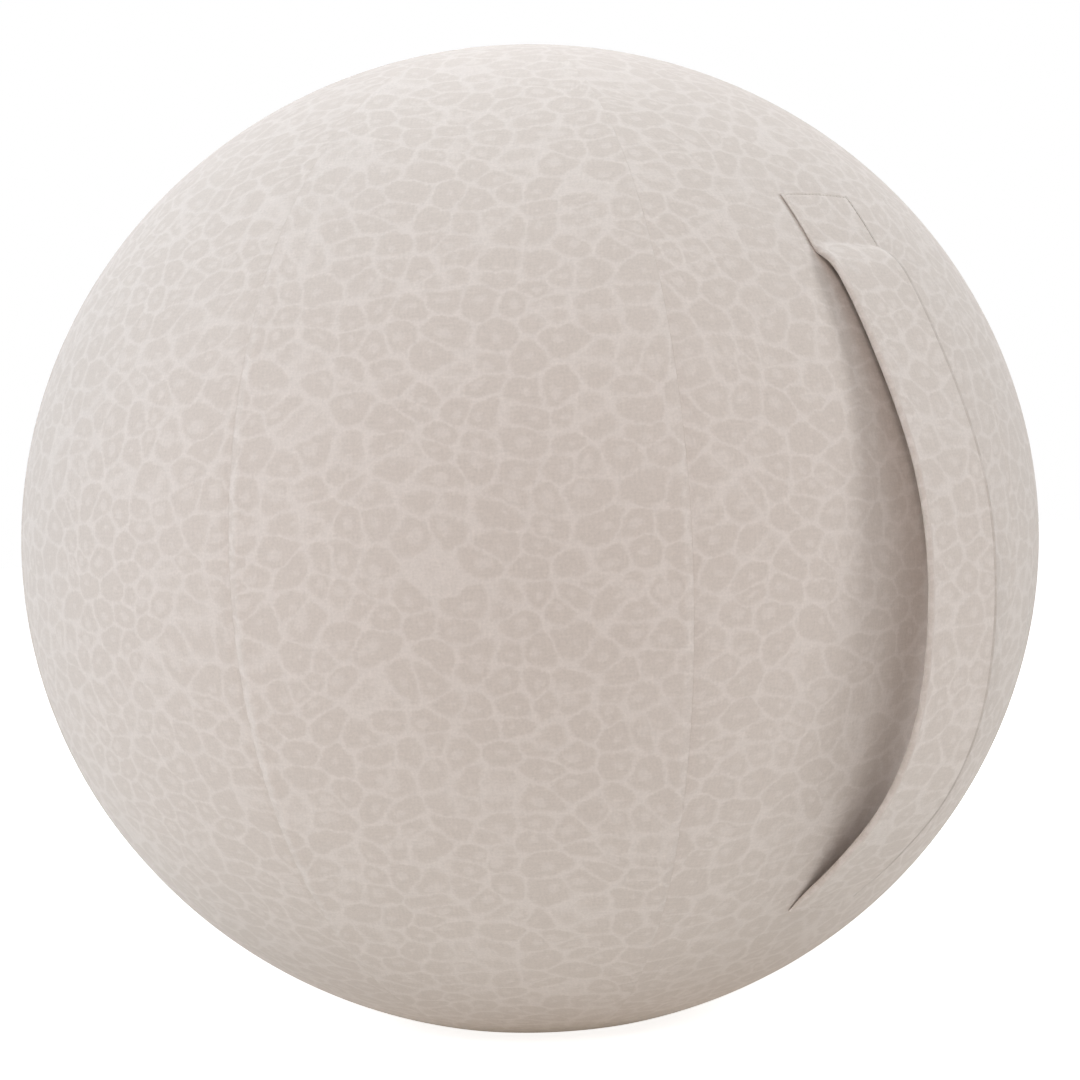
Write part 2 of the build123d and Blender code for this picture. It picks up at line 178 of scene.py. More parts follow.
def printed_cloth(name, painted_shade_line=None):
    """Cloth on its own map in metres: spots about a pitch apart, woven from threads of a given width.

    Spots are the cells nearest to scattered points, drawn a little larger in some places than in others.
    The pale net is where the distance to the nearest point, less its own smoothed form, is largest: thin
    along a border between two cells and wide where three meet. A pale heart lies round most of the points.
    Where a painted shade line is given, the cloth is painted a little darker at that distance across it:
    painted shade that stands in for the soft shadow beside the strap's edge."""
    finish, shader, shade = new_finish(name, Roughness=0.9, Specular_IOR_Level=0.2, Sheen_Weight=0.12)
    cloth = shade.node("UVMap", {}, uv_map="cloth")
    place = cloth
    for scale, detail, reach in ((0.4, 0.0, 0.9), (1.6, 2.0, 0.4)):
        sockets = {"Vector": cloth, "Scale": scale / spot_pitch, "Detail": detail}
        drift = shade.node("TexNoise", sockets, output="Color")
        drawn = (reach * spot_pitch, reach * spot_pitch, 0)
        place = shade.node("VectorMath", {0: drift, 1: drawn, 2: place}, operation="MULTIPLY_ADD")
    cells = {"Vector": place.stretched(0.9, 1.12), "Scale": 1 / spot_pitch, "Randomness": 1.0}
    flowing = dict(cells, Smoothness=1.0)
    middle = shade.node("TexVoronoi", cells, voronoi_dimensions="2D", feature="F1")
    chance = shade.node("TexVoronoi", cells, output="Color", voronoi_dimensions="2D", feature="F1")
    smoothed = shade.node("TexVoronoi", flowing, voronoi_dimensions="2D", feature="SMOOTH_F1")
    picked = shade.node("SeparateColor", {"Color": chance})
    ragged = cloth.noise(0.5 / thread, 2) - 0.5
    loose = cloth.noise(1.3 / spot_pitch, 2) - 0.5
    net = (middle - smoothed + 0.12 * ragged + 0.11 * loose).step(0.015, 0.15)
    heart = 1 - (middle + 0.24 * ragged + 0.36 * loose + 0.16 * picked).step(0.14, 0.32)
    spots = (1 - net) * (1 - 0.7 * heart)

    warp = cloth.stretched(1 / thread, 0.22 / thread).noise(0.55, 2)
    weft = cloth.stretched(0.22 / thread, 1 / thread).noise(0.55, 2)
    fleck = cloth.noise(0.7 / thread, 1)
    cloud = cloth.noise(14, 2)
    tone = (spots * (0.55 + 0.9 * cloud)).between(ground, spot)
    shift = 1 + 0.12 * (warp + weft - 1) + 0.18 * (fleck - 0.5) + 0.03 * (cloud - 0.5)
    # Painted shade: the cloth is darker along the given line, in place of the shadow beside the strap's
    # edge
    if painted_shade_line is not None:
        across = shade.node("SeparateXYZ", {"Vector": cloth}, output="X")
        beside_line = shade.math("ABSOLUTE", across - painted_shade_line).step(0.0005, 0.003)
        shift = shift * (0.88 + 0.12 * beside_line)
    height = 0.8 * (warp + weft) - 0.3 * spots
    feed(
        shader,
        Base_Color=shade.node("VectorMath", {0: tone, "Scale": shift}, operation="SCALE"),
        Normal=shade.node("Bump", {"Strength": 0.3, "Distance": 0.0004, "Height": height}),
    )
    return finish


cover_cloth = printed_cloth("cover_cloth")


# The long panels: eight gores of the printed cloth from the base to the crown, drawn tight by the air
# ball. Their edges roll into plain seams, turned in behind, and the two at the back make room for a zip.
half_width = 0.325
half_height = 0.316
base_edge = 0.096
crown_edge = 0.044
ball_middle = half_height * sqrt(1 - (base_edge / half_width) ** 2)
panel_turn = 2 * pi / 8
first_seam = radians(18.1 - 45)
seam_roll = 0.0001
lip = np.array((0.0012, 0.0026))
slot_lip = 0.0016
panel_cut = np.array((0.731, 0.417))

# The strap's pull lays the seam beside it almost flat, and all lie flatter above and below the waist
seam_firmness = np.array((1, 0.3, 1, 1, 1, 1, 1, 1))
seam_fade = 0.02
firm_middle, firm_reach = 0.375, 0.21
hollow_depth, hollow_reach = 0.00045, 0.003
allowance_rise, allowance_middle, allowance_reach = 0.0006, 0.0055, 0.0035
pucker_depth, pucker_reach = 0.00008, 0.007
pucker_pitch, pucker_drift, pucker_fade = 2 * pi / 0.0083, 2 * pi / 0.071, 2 * pi / 0.113

low_turn = -asin(ball_middle / half_height)
high_turn = np.arccos(crown_edge / half_width)
turns = np.linspace(low_turn, high_turn, 4000)
steps = np.hypot(half_width * np.sin(turns), half_height * np.cos(turns)) * (turns[1] - turns[0])
heights_along = np.concatenate(([0], np.cumsum((steps[1:] + steps[:-1]) / 2)))
panel_length = heights_along[-1]


def ball_line(along):
    """Radius, height and outward normal of the ball at lengths along a meridian from the base edge."""
    turn = np.interp(along, heights_along, turns)
    fall = np.stack((np.cos(turn) / half_width, np.sin(turn) / half_height), -1)
    fall /= np.linalg.norm(fall, axis=-1, keepdims=True)
    return half_width * np.cos(turn), ball_middle + half_height * np.sin(turn), fall


def on_ball(along, bearing, rise):
    """Points over the ball: length along a meridian, bearing round the axis, and rise along the normal."""
    radius, height, fall = ball_line(along)
    out = radius + rise * fall[..., 0]
    return np.stack((out * np.cos(bearing), out * np.sin(bearing), height + rise * fall[..., 1]), -1)


def rolled(distance, roll):
    """Depth of an edge that turns in round a quarter circle, at a distance from the edge."""
    near = np.clip(roll - distance, 0, roll)
    return roll - np.sqrt(roll**2 - near**2)


def shell_mesh(name, points, corners, finish, spread=None):
    """Points and the quads between them as a smooth piece with a finish, and a map for each corner.

    Points that fall together, at poles and closed ends, become one."""
    mesh = bpy.data.meshes.new(name)
    mesh.from_pydata(points.tolist(), [], corners.tolist())
    if spread is not None:
        layer = mesh.uv_layers.new(name="cloth")
        layer.data.foreach_set("uv", spread.astype(np.float32).ravel())
    shape = bmesh.new()
    shape.from_mesh(mesh)
    bmesh.ops.remove_doubles(shape, verts=shape.verts, dist=1e-6)
    shape.to_mesh(mesh)
    shape.free()
    mesh.polygons.foreach_set("use_smooth", np.ones(len(mesh.polygons), bool))
    mesh.materials.append(finish)
    mesh.update()
    piece = bpy.data.objects.new(name, mesh)
    bpy.context.scene.collection.objects.link(piece)
    return piece


def grid_mesh(name, points, flat, finish, wrap=False):
    """Grid of points as quads, with its place on the flat cloth in metres as the map named cloth.

    Where wrap is set, the last column joins the first."""
    rows, columns = points.shape[:2]
    index = np.arange(rows * columns).reshape(rows, columns)
    if wrap:
        index = np.concatenate((index, index[:, :1]), 1)
        flat = np.concatenate((flat, flat[:, :1] + flat[:, -1:] - flat[:, -2:-1]), 1)
    corners = np.stack((index[:-1, :-1], index[:-1, 1:], index[1:, 1:], index[1:, :-1]), -1)
    spread = np.stack((flat[:-1, :-1], flat[:-1, 1:], flat[1:, 1:], flat[1:, :-1]), -2)
    return shell_mesh(name, points.reshape(-1, 3), corners.reshape(-1, 4), finish, spread.reshape(-1, 2))


zip_seam_bearing = first_seam + 4 * panel_turn
zip_heights = np.array((0.0655, 0.4173))
zip_low_end, zip_high_end = np.interp(zip_heights, ball_line(heights_along)[1], heights_along)
zip_slot = 0.0066
zip_corner = 0.0022
zip_half_length = (zip_high_end - zip_low_end) / 2
zip_middle_along = (zip_high_end + zip_low_end) / 2


def past_slot_side(along):
    """How far lengths along the seam lie past the straight part of the zip's slot."""
    return np.abs(along - zip_middle_along) - (zip_half_length - zip_corner)


def slot_edge(along):
    """Half width of the zip's slot at lengths along the seam: a long box with rounded corners."""
    beyond = past_slot_side(along)
    bend = np.sqrt(np.clip(zip_corner**2 - np.clip(beyond, 0, None) ** 2, 0, None))
    return np.where(beyond > zip_corner, 0, zip_slot - zip_corner + bend)


def slot_distance(across, along):
    """Distance from the slot's edge, outside it: that of a box with rounded corners."""
    side = across - (zip_slot - zip_corner)
    end = past_slot_side(along)
    outside = np.hypot(np.clip(side, 0, None), np.clip(end, 0, None))
    return outside + np.minimum(np.maximum(side, end), 0) - zip_corner


fine = np.array((0, 0.25, 0.6, 1.0, 1.4, 2.0, 2.8, 3.8)) / 1000
slot_steps = np.array((-2.4, -1.4, -0.7, -0.2, 0, 0.05, 0.3, 0.8, 1.5, 2.4)) / 1000
slot_rows = np.concatenate((zip_low_end + slot_steps, zip_high_end - slot_steps))
plain_rows = np.linspace(0.005, panel_length - 0.005, 300)
rows = np.unique(np.concatenate((plain_rows, fine, panel_length - fine, slot_rows)))
row_lip = np.concatenate((lip[::-1], np.zeros(len(rows)), lip))
rows = np.concatenate(([0, 0], rows, [panel_length] * 2))
from_seam = np.array((0.04, 0.25, 0.6, 1.0, 1.4, 2.0, 2.8, 4, 5.5, 7.5, 10, 13, 17, 22, 28)) / 1000
from_seam = np.concatenate((from_seam, np.linspace(0.036, half_width * panel_turn / 2, 13)))
share = 1 - from_seam / (half_width * panel_turn / 2)
share = np.concatenate((-share[:-1], share[::-1]))
column_lip = np.concatenate((lip[::-1], np.zeros(len(share)), lip))
share = np.concatenate(([share[0]] * 2, share, [share[-1]] * 2))


def long_panel(number):
    """Points of a long panel and their place on the flat cloth, both by row up it and column across it.

    Depth under the ball's face is the roll of the nearest edge, a shallow hollow along the seams where the
    stitches hold the cloth in, and small puckers across them. On every second panel the seam allowances
    lie under its edges, which stand a little higher, but not beside the zip. The edge turned in at the
    zip's slot stops above the tape."""
    start = first_seam + number * panel_turn
    along, part = np.meshgrid(rows, share, indexing="ij")
    radius = ball_line(along)[0]
    beside_zip = part * {3: 1, 4: -1}.get(number, 0) > 0
    cut = np.where(beside_zip, slot_edge(along), 0)
    swing = part * (panel_turn / 2 - cut / radius)
    across = radius * swing
    to_seam = radius * panel_turn / 2 - np.abs(across)
    to_slot = np.maximum(slot_distance(to_seam, along), 0)
    near_slot = beside_zip & (np.abs(along - zip_middle_along) < zip_half_length + 0.02)
    edge = np.where(near_slot, np.minimum(np.maximum(to_seam, 0), to_slot), to_seam)
    ends = np.minimum(along, panel_length - along)
    depth = rolled(np.minimum(edge, ends), seam_roll)
    firm = np.where(part > 0, seam_firmness[(number + 1) % 8], seam_firmness[number])
    waist = np.exp(-(((along - firm_middle) / firm_reach) ** 4))
    firm = firm * np.clip(ends / seam_fade, 0, 1) * (0.25 + 0.75 * waist)
    depth += hollow_depth * firm * np.exp(-((edge / hollow_reach) ** 2))
    allowance = np.exp(-(((edge - allowance_middle) / allowance_reach) ** 2))
    depth -= allowance_rise * firm * (number % 2) * ~beside_zip * allowance
    pucker = np.sin(along * pucker_pitch + 2.2 * np.sin(along * pucker_drift + number))
    pucker *= 0.5 + 0.5 * np.sin(along * pucker_fade + 2.3 * number)
    depth += pucker_depth * firm * (1 + pucker) * np.exp(-edge / pucker_reach)
    depth += column_lip[None, :] + row_lip[:, None]
    depth = np.where(cut > 0, np.minimum(depth, slot_lip), depth)
    flat = np.stack((across, along), -1) + number * panel_cut
    return on_ball(along, start + panel_turn / 2 + swing, -depth), flat


for number in range(8):
    panel = grid_mesh(f"long_panel_{number + 1}", *long_panel(number), cover_cloth)
    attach(panel, "ball")
    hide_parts(f"cover_panel_{number + 1}")


# The crown: a round of the same cloth that closes the top, where the eight long panels end.
# Its rim rolls into a plain seam, like theirs.
def round_grid(radius, count, roll_rows):
    """Square grid pressed into a disc without a pole: x and y, distance from the rim and depth turned in.

    Rows lie close together near the rim, and the outermost are repeated for the cloth turned in there."""
    inner = np.linspace(-1, 1, count) * (1 - roll_rows[-1] / radius * 1.2)
    side = np.sort(np.concatenate((inner, 1 - roll_rows / radius, roll_rows / radius - 1)))
    turned = np.concatenate((lip[::-1], np.zeros(len(side)), lip))
    side = np.concatenate(([-1, -1], side, [1, 1]))
    down, over = np.meshgrid(side, side, indexing="ij")
    flat = np.stack((over * np.sqrt(1 - down**2 / 2), down * np.sqrt(1 - over**2 / 2)), -1) * radius
    return flat, radius - np.linalg.norm(flat, axis=-1), np.maximum(turned[:, None], turned[None, :])


crown_cut = 0.29
crown_hollow, crown_hollow_reach = 0.0006, 0.005
crown_flat, crown_to_rim, crown_lip = round_grid(crown_edge - 0.0001, 40, fine)
crown_bend = half_width**2 / half_height
crown_out = np.linalg.norm(crown_flat, axis=-1)
crown_top = ball_middle + half_height - crown_bend + np.sqrt(crown_bend**2 - crown_out**2)
crown_rim = crown_hollow * np.exp(-crown_to_rim / crown_hollow_reach)
crown_top -= rolled(crown_to_rim, seam_roll) + crown_rim + crown_lip
crown_points = np.concatenate((crown_flat, crown_top[..., None]), -1)
crown = grid_mesh("crown_round", crown_points, crown_flat + crown_cut, cover_cloth)
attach(crown, "ball")
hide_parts("crown_panel")


# The base: a round of coated non-slip cloth that the ball stands on, sewn to the ends of the long panels,
# with rubber dots printed on its underside in rings.
def plain_weave(name, dark, light, thread):
    """Plain weave on its own map in metres, of threads of a given width: streaks both ways of the cloth."""
    finish, shader, shade = new_finish(name, Roughness=0.8)
    cloth = shade.node("UVMap", {}, uv_map="cloth")
    weave = cloth.stretched(1, 0.2).noise(1 / thread, 2) + cloth.stretched(0.2, 1).noise(1 / thread, 2)
    feed(
        shader,
        Base_Color=weave.step(0.7, 1.3).between(dark, light),
        Normal=shade.node("Bump", {"Strength": 0.5, "Distance": 0.0003, "Height": weave}),
    )
    return finish


base_finish = plain_weave("base_cloth", (0.035, 0.034, 0.033, 1), (0.07, 0.068, 0.066, 1), 0.0007)
dot_rubber = moulded("base_dot_rubber", (0.03, 0.03, 0.03, 1), (0.05, 0.05, 0.05, 1), 0.6, 2000)
dot_height = 0.0009
base_flat, base_to_rim, base_lip = round_grid(base_edge - 0.0002, 40, fine)
base_under = dot_height + rolled(base_to_rim, seam_roll) + 0.5 * base_lip
base_points = np.concatenate((base_flat, base_under[..., None]), -1)
base = grid_mesh("base_round", base_points[:, ::-1], base_flat[:, ::-1], base_finish)
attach(base, "ball")
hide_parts("base_panel")


def rings_mesh(name, points, finish):
    """Many small shapes as one piece: points by shape, by ring along the shape and by place round it."""
    count, along, around = points.shape[:3]
    index = np.arange(along * around).reshape(along, around)
    beside = np.roll(index, -1, 1)
    corners = np.stack((index[:-1], index[1:], beside[1:], beside[:-1]), -1).reshape(-1, 4)
    corners = corners + along * around * np.arange(count)[:, None, None]
    return shell_mesh(name, points.reshape(-1, 3), corners.reshape(-1, 4), finish)


dot_pitch = 0.0073
dot_radius = 0.0014
dot_places = [(ring, 2 * pi * place / (6 * ring)) for ring in range(1, 13) for place in range(6 * ring)]
dot_middles = dot_pitch * np.array([(ring * cos(turn), ring * sin(turn), 0) for ring, turn in dot_places])
dome_turn = np.linspace(0, pi / 2, 4)[:, None]
dome_bearing = np.arange(8) * pi / 4
dome_out = dot_radius * np.cos(dome_turn)
dome_up = dot_height * (1 - np.sin(dome_turn)) + 0 * dome_bearing
dome = np.stack((dome_out * np.cos(dome_bearing), dome_out * np.sin(dome_bearing), dome_up), -1)
dots = rings_mesh("base_dots", dome + dot_middles[:, None, None], dot_rubber)
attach(dots, "ball")


# The carrying strap: a tube of the printed cloth, turned and pressed flat over a webbing core.
# It is sewn down at both ends, lifts off the ball below a crease and is free between them.
strap_half = 0.029
strap_face = 0.0022
tab_face = 0.0010
strap_gap = 0.0003
stitch_inset = 0.0022
stitch_groove = 0.0003
groove_reach = 0.0014
tube_seam, tube_seam_reach, tube_seam_share = 0.0264, 0.0008, 0.45
strap_corner = 0.0012
cupped_lift = 0.006
strap_top = 38.0
strap_bottom = -41.4
crease = 30.8
lower_hold = -39.0
crease_fade = 0.003
lower_fade = 0.02
strap_lift = np.array((
    (46, -1.3), (31.2, -1.3), (30.7, -1.1), (30.1, 0.5), (29.4, 1.95), (28.8, 3.2), (28.2, 4.1),
    (27.1, 5.2), (26, 5.8), (24.5, 6.3), (22.6, 7.0), (20, 8.2), (17.3, 9.7), (15.2, 11.4),
    (13.2, 13.0), (11.3, 14.7), (9.4, 16.6), (7.5, 18.2), (5.7, 19.5), (3.9, 20.7), (0.4, 22.5),
    (-3.1, 23.7), (-6.6, 24.6), (-10.2, 25.2), (-13.8, 25.6), (-15.6, 25.5), (-17.6, 24.7), (-19.7, 23.5),
    (-21.7, 22.0), (-24, 19.7), (-26.4, 16.9), (-29.3, 12.4), (-32.3, 7.8), (-35.6, 3.4), (-37.2, 1.7),
    (-38.7, 0.2), (-40, -0.9), (-41.5, -1.8), (-50, -2.2),
))[::-1]


def ball_side(angle):
    """Radius and height of the ball's face, and its outward normal, at degrees above the waist."""
    direction = np.stack((np.cos(np.radians(angle)), np.sin(np.radians(angle))), -1)
    reach = 1 / np.hypot(direction[..., 0] / half_width, direction[..., 1] / half_height)
    foot = direction * reach[..., None]
    normal = foot / np.array((half_width**2, half_height**2))
    normal /= np.linalg.norm(normal, axis=-1, keepdims=True)
    return foot, normal


def evened(values, reach):
    """Values evened out over a reach of neighbours with the weights of a bell curve."""
    bell = np.exp(-np.linspace(-2.5, 2.5, 2 * reach + 1) ** 2 / 2)
    return np.convolve(np.pad(values, reach, mode="edge"), bell / bell.sum(), mode="valid")


# The lift is listed in millimetres at degrees above the waist, and evened out, least at the crease
strap_angles = np.linspace(strap_bottom - 4, strap_top + 4, 4001)
listed_lift = np.interp(strap_angles, strap_lift[:, 0], strap_lift[:, 1]) / 1000
near_crease = np.clip((strap_angles - 23) / 4, 0, 1)
lift = near_crease * evened(listed_lift, 22) + (1 - near_crease) * evened(listed_lift, 160)
strap_foot, strap_normal = ball_side(strap_angles)
strap_middle = strap_normal * (lift + strap_gap + strap_face)[:, None]
strap_line = strap_foot + strap_middle + np.array((0, ball_middle))
strap_along = np.concatenate(([0], np.cumsum(np.linalg.norm(np.diff(strap_line, axis=0), axis=1))))
strap_along -= np.interp(strap_bottom, strap_angles, strap_along)
strap_tangent = np.gradient(strap_line, axis=0)
strap_tangent /= np.linalg.norm(strap_tangent, axis=1, keepdims=True)
strap_length = np.interp(strap_top, strap_angles, strap_along)
strap_cup = strap_normal[:, 0] / strap_foot[:, 0] * np.clip(1 - lift / cupped_lift, 0, 1) ** 2


def on_strap(along, across, rise):
    """Points of the strap: length along it from its lower end, across it, and rise from its middle layer.

    Where it is sewn down it is cupped to the ball's roundness, and where it is free it is flat across."""

    def read(values):
        return np.interp(along, strap_along, values)

    lowered = rise - read(strap_cup) * across**2 / 2
    out = read(strap_line[:, 0]) + lowered * read(strap_tangent[:, 1])
    up = read(strap_line[:, 1]) - lowered * read(strap_tangent[:, 0])
    return np.stack((out, across + 0 * out, up), -1)


crease_along = np.interp(crease, strap_angles, strap_along)
lower_sewn = np.interp(lower_hold, strap_angles, strap_along)
edge_turn = np.linspace(pi / 2, -pi / 2, 9)[1:-1]
edge_across = strap_half - strap_face + strap_face * np.cos(edge_turn)
face_parts = ((-0.0268, -0.0222, 9), (-0.02, 0.02, 19), (0.0222, 0.0268, 15))
face_across = np.concatenate([np.linspace(*part) for part in face_parts])
face_rise = np.ones(len(face_across))
ring_across = np.concatenate((face_across, edge_across, face_across[::-1], -edge_across))
ring_rise = np.concatenate((face_rise, np.sin(edge_turn), -face_rise, -np.sin(edge_turn)))
ring_step = np.hypot(np.diff(ring_across), strap_face * np.diff(ring_rise))
ring_along = np.concatenate(([0], np.cumsum(ring_step)))
strap_cut = np.array((0.157, 0.613))
# The strap's cloth has painted shade round its edge on the +Y side, for the shadow that the strap casts
# beside it
strap_cloth = printed_cloth("strap_cloth", strap_cut[0] + ring_along[len(face_across)])


def rounded(distance, radius):
    """Rises from 0 at an edge to 1 at a radius from it, round a quarter of a circle."""
    return np.sqrt(np.clip(1 - np.clip(1 - distance / radius, 0, 1) ** 2, 0, 1))


def strap_half_piece(name, low, high):
    """Stretch of the strap's tube between two lengths along it, closed to an edge at an end of the strap.

    The section is a flat oval with the tube's own seam along one edge, pressed thinner where it is sewn
    down. There it has a groove along its edges, where the stitches hold it, and at the end it narrows round
    the corners over a millimetre."""
    end_steps = np.array((0, 0.06, 0.22, 0.5, 0.9, 1.4, 2.0, 2.7)) / 1000
    inner = np.linspace(low, high, int((high - low) / 0.0012))
    from_low = low + end_steps * (low == 0)
    from_high = high - end_steps * (high == strap_length)
    along = np.unique(np.concatenate((inner, from_low, from_high)))
    to_end = np.minimum(along, strap_length - along)
    sewn = np.maximum((along - crease_along) / crease_fade, (lower_sewn - along) / lower_fade)
    half_thick = strap_face - (strap_face - tab_face) * np.clip(sewn + 0.5, 0, 1)
    thick = half_thick * rounded(to_end, tab_face)
    narrow = strap_corner * (1 - rounded(to_end, strap_corner))
    across = ring_across * (1 - narrow[:, None] / strap_half)
    rise = ring_rise * thick[:, None]
    inset = np.minimum(strap_half - np.abs(across), to_end[:, None])
    groove = np.exp(-(((inset - stitch_inset) / groove_reach) ** 2)) * np.clip(sewn, 0, 1)[:, None]
    groove *= 1 + np.exp(-((to_end[:, None] / 0.004) ** 2))
    seam = np.exp(-(((across - tube_seam) / tube_seam_reach) ** 2))
    rise -= (stitch_groove * groove + tube_seam_share * half_thick[:, None] * seam) * (ring_rise > 0.5)
    points = on_strap(along[:, None] + 0 * across, across, rise)
    flat = np.stack(np.broadcast_arrays(ring_along, along[:, None]), -1) + strap_cut
    return grid_mesh(name, points, flat, strap_cloth, wrap=True)


def strap_mark(angle):
    """Point in the middle of the strap at degrees above the waist."""
    return on_strap(np.interp(angle, strap_angles, strap_along), 0.0, 0.0)


split_along = np.interp(-4.0, strap_angles, strap_along)
strap_ends = {
    "upper": (split_along, strap_length, strap_mark(31.0), strap_mark(13.0)),
    "lower": (0, split_along, strap_mark(lower_hold), strap_mark(-24.0)),
}
for end, (low, high, held, free) in strap_ends.items():
    strap = strap_half_piece(f"strap_{end}", low, high)
    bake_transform(strap)
    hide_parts(f"handle_end_{end}", "handle_outer", "handle_core", "handle_lining")


# The stitches: spun thread dyed to the cloth, in a box that holds each end of the strap down and in
# another round the zip. Each stitch is a short bowed length whose ends dip into the cloth.
thread_finish, thread_shader, thread_shade = new_finish("thread", Roughness=0.6, Sheen_Weight=0.2)
thread_place = thread_shade.node("TexCoord", {}, output="Object")
thread_twist = thread_place.noise(2600, 1)
thread_light = thread_twist.step(0.35, 0.65)
feed(
    thread_shader,
    Base_Color=thread_light.between(tint(197, 188, 181), tint(209, 201, 195)),
    Normal=thread_shade.node("Bump", {"Strength": 0.4, "Distance": 0.0002, "Height": thread_twist}),
)
thread_radius = 0.0002
stitch_length = 0.0030
needle_hole = 0.12 * stitch_length
zip_stitch_depth = 0.0004
zip_stitch_side = zip_slot + 0.0026
zip_stitch_end = 0.004


def sewn_line(name, place, path):
    """Stitches along a path of points on a surface: place gives the surface at two lengths and a rise.

    A stitch is a ring of six carried along a shallow bow between two needle holes."""
    run = np.concatenate(([0], np.cumsum(np.linalg.norm(np.diff(path, axis=0), axis=1))))
    holes = np.linspace(0, run[-1], int(run[-1] / stitch_length) + 1)
    first, last = (
        np.stack([np.interp(at, run, path[:, axis]) for axis in (0, 1)], -1)
        for at in (holes[:-1] + needle_hole, holes[1:] - needle_hole)
    )
    way = np.array((0, 0.12, 0.5, 0.88, 1))
    bow = np.array((-0.3, 0.05, 0.2, 0.05, -0.3)) / 1000
    spots = first[:, None] + (last - first)[:, None] * way[:, None]
    line = place(spots[..., 0], spots[..., 1], bow + 0 * spots[..., 0])
    above = place(spots[..., 0], spots[..., 1], bow + 0.001 + 0 * spots[..., 0]) - line
    above /= np.linalg.norm(above, axis=-1, keepdims=True)
    ahead = np.gradient(line, axis=1)
    aside = np.cross(ahead, above)
    aside /= np.linalg.norm(aside, axis=-1, keepdims=True)
    turn = np.arange(6) * pi / 3
    girth = thread_radius * np.array((0, 1, 1.1, 1, 0))[:, None, None]
    ring = aside[:, :, None] * np.cos(turn)[:, None] + above[:, :, None] * np.sin(turn)[:, None]
    points = line[:, :, None] + girth * ring
    stitches = rings_mesh(name, points, thread_finish)
    return stitches


def strap_top_face(along, across, rise):
    """Outer face of the strap's sewn ends, in their grooves."""
    return on_strap(along, across, rise + tab_face - stitch_groove - thread_radius)


def beside_zip_face(along, across, rise):
    """Cover on both sides of the zip's seam, in the hollow beside its slot."""
    return on_ball(along, zip_seam_bearing + across / ball_line(along)[0], rise - zip_stitch_depth)


def box_path(low, high, side):
    """Corners of a box of stitches, from its low end to its high end and as far to each side, and back."""
    return np.array(((low, -side), (high, -side), (high, side), (low, side), (low, -side)))


stitch_side = strap_half - stitch_inset
for end, box in {
    "upper": box_path(crease_along, strap_length - stitch_inset, stitch_side),
    "lower": box_path(stitch_inset, lower_sewn, stitch_side),
}.items():
    stitches = sewn_line(f"strap_{end}_stitches", strap_top_face, box)
    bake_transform(stitches)
zip_box = box_path(zip_low_end - zip_stitch_end, zip_high_end + zip_stitch_end, zip_stitch_side)
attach(sewn_line("zip_stitches", beside_zip_face, zip_box), "ball")


# The strap's backing patches: plain lining cloth with rounded corners, sewn inside the cover behind each
# end of the strap, where they take the pull of its stitches.
lining_cloth = plain_weave("lining_cloth", tint(150, 142, 134), tint(168, 160, 151), 0.0008)
patch_width = 0.074
patch_corner = 0.005
patch_depth = 0.0046


def backing_patch(end, angle, length):
    """Rectangle with rounded corners inside the cover, with its middle at degrees above the waist.

    In each corner, a square of the grid is pressed into a quarter of a disc."""
    side = np.linspace(-0.5, 0.5, 41)
    up, over = np.meshgrid(side * length, side * patch_width, indexing="ij")
    past_up = np.clip(np.abs(up) - length / 2 + patch_corner, 0, None)
    past_over = np.clip(np.abs(over) - patch_width / 2 + patch_corner, 0, None)
    up = up - np.sign(up) * past_up * (1 - np.sqrt(1 - (past_over / patch_corner) ** 2 / 2))
    over = over - np.sign(over) * past_over * (1 - np.sqrt(1 - (past_up / patch_corner) ** 2 / 2))
    height = ball_side(np.array(angle))[0][1] + ball_middle
    along = np.interp(height, ball_line(heights_along)[1], heights_along) + up
    points = on_ball(along, over / ball_line(along)[0], -patch_depth)
    patch = grid_mesh(f"backing_patch_{end}", points, np.stack((over, up), -1), lining_cloth)
    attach(patch, "ball")
    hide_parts(f"handle_backing_{end}")


backing_patch("upper", 33.8, 0.064)
backing_patch("lower", -39.6, 0.045)


# The zip: two woven tapes sewn under the edges of its slot, each with a row of moulded teeth.
# A painted metal slider with a flat pull closes it downwards, to stops beside the base.
zip_out = np.array((cos(zip_seam_bearing), sin(zip_seam_bearing), 0))
zip_aside = np.array((sin(zip_seam_bearing), -cos(zip_seam_bearing), 0))
zip_centre = np.array((-0.0129025, 0.0065458, 0.301729))
zip_radius = 0.308390
tape_finish, tape_shader, tape_shade = new_finish("zip_tape", Roughness=0.85, Sheen_Weight=0.1)
tape_place = tape_shade.node("UVMap", {}, uv_map="cloth")
tape_across = tape_shade.node("SeparateXYZ", {"Vector": tape_place}, output="X")
tape_along = tape_shade.node("SeparateXYZ", {"Vector": tape_place}, output="Y")
rib = tape_shade.math("SINE", tape_across * (2 * pi / 0.0011))
pick = tape_shade.math("SINE", tape_along * (2 * pi / 0.0006))
tape_height = 0.7 * rib + 0.3 * pick
tape_light = (tape_height * 0.5 + 0.5).step(0.0, 1.0)
feed(
    tape_shader,
    Base_Color=tape_light.between(tint(176, 166, 157), tint(196, 186, 178)),
    Normal=tape_shade.node("Bump", {"Strength": 0.5, "Distance": 0.0003, "Height": tape_height}),
)
tape_turn = np.radians(np.concatenate(([-49.94], np.linspace(-49.9, 21.9, 220), [21.94])))
tape_fullness = np.ones((len(tape_turn), 1))
tape_fullness[[0, -1]] = 0
tape_ring = np.array((
    (2.9, 0.2), (3.4, 0.35), (7.0, 0.35), (10.5, 0.35), (13.7, 0.35), (14.0, 0.0),
    (13.7, -0.35), (10.5, -0.35), (7.0, -0.35), (3.4, -0.35), (2.9, -0.2),
)) / 1000
